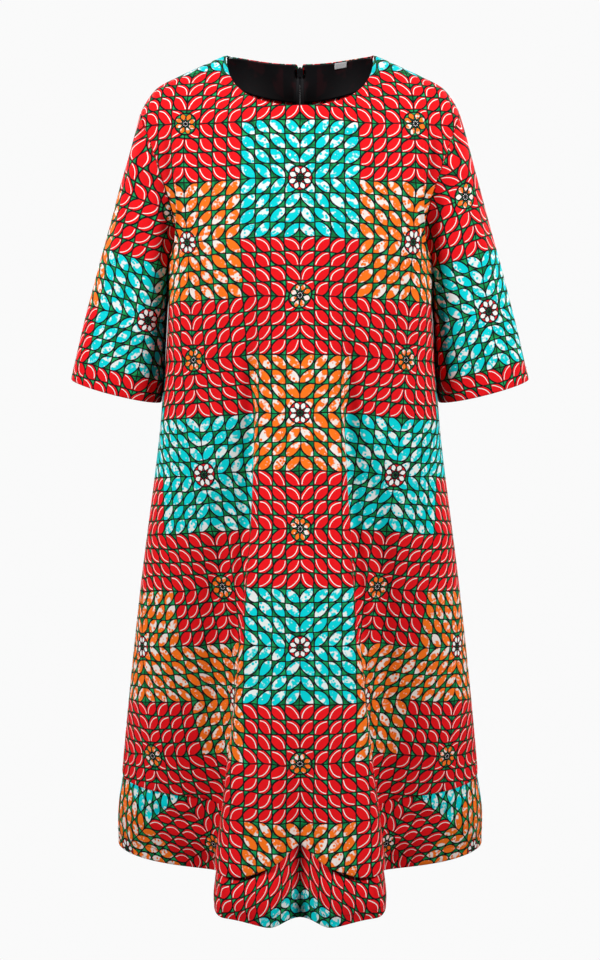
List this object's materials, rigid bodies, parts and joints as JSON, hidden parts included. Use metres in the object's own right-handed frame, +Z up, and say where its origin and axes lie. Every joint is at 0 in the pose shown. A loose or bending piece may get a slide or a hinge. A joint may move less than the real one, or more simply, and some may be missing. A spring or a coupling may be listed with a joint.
{
  "type": "maxi dress",
  "caption": "Hollow A-line dress in its worn form, with a round neck, elbow-length sleeves, a skirt of soft folds, a hem band and a back zip.",
  "frame": {"origin": "between the wearer's shoulders, on the centre line, level with the middle of the shoulder seams", "axes": "+Z up along the dress, -Y out of its front, +X towards the wearer's left sleeve"},
  "size_m": [0.7052, 0.528, 1.2603],
  "materials": {
    "body_print": "matt cotton, printed in red, green, turquoise and orange",
    "sleeve_print": "matt cotton, printed as the body",
    "band_print": "matt cotton, the same print on the bias",
    "lining": "thin black cloth with a low sheen",
    "label": "pale grey woven tape, bare",
    "zip_tape": "black woven tape",
    "zip_metal": "black enamel"
  },
  "bodies": {
    "dress": {"front": "body_print", "back_left": "body_print", "back_right": "body_print", "sleeve_left": "sleeve_print", "sleeve_right": "sleeve_print", "band_front": "band_print", "band_back": "band_print", "lining_left": "lining", "lining_right": "lining", "neck_label": "label", "zip_tape_left": "zip_tape", "zip_tape_right": "zip_tape", "zip_slider": "zip_metal"},
    "zip_pull": {"zip_pull": "zip_metal"}
  },
  "joints": [
    {"name": "pull_swing", "type": "hinge", "parent": "dress", "child": "zip_pull", "pos_m": [0, 0.0912, 0.02216], "axis": [1, 0, 0], "range_deg": [0, 160]}
  ]
}
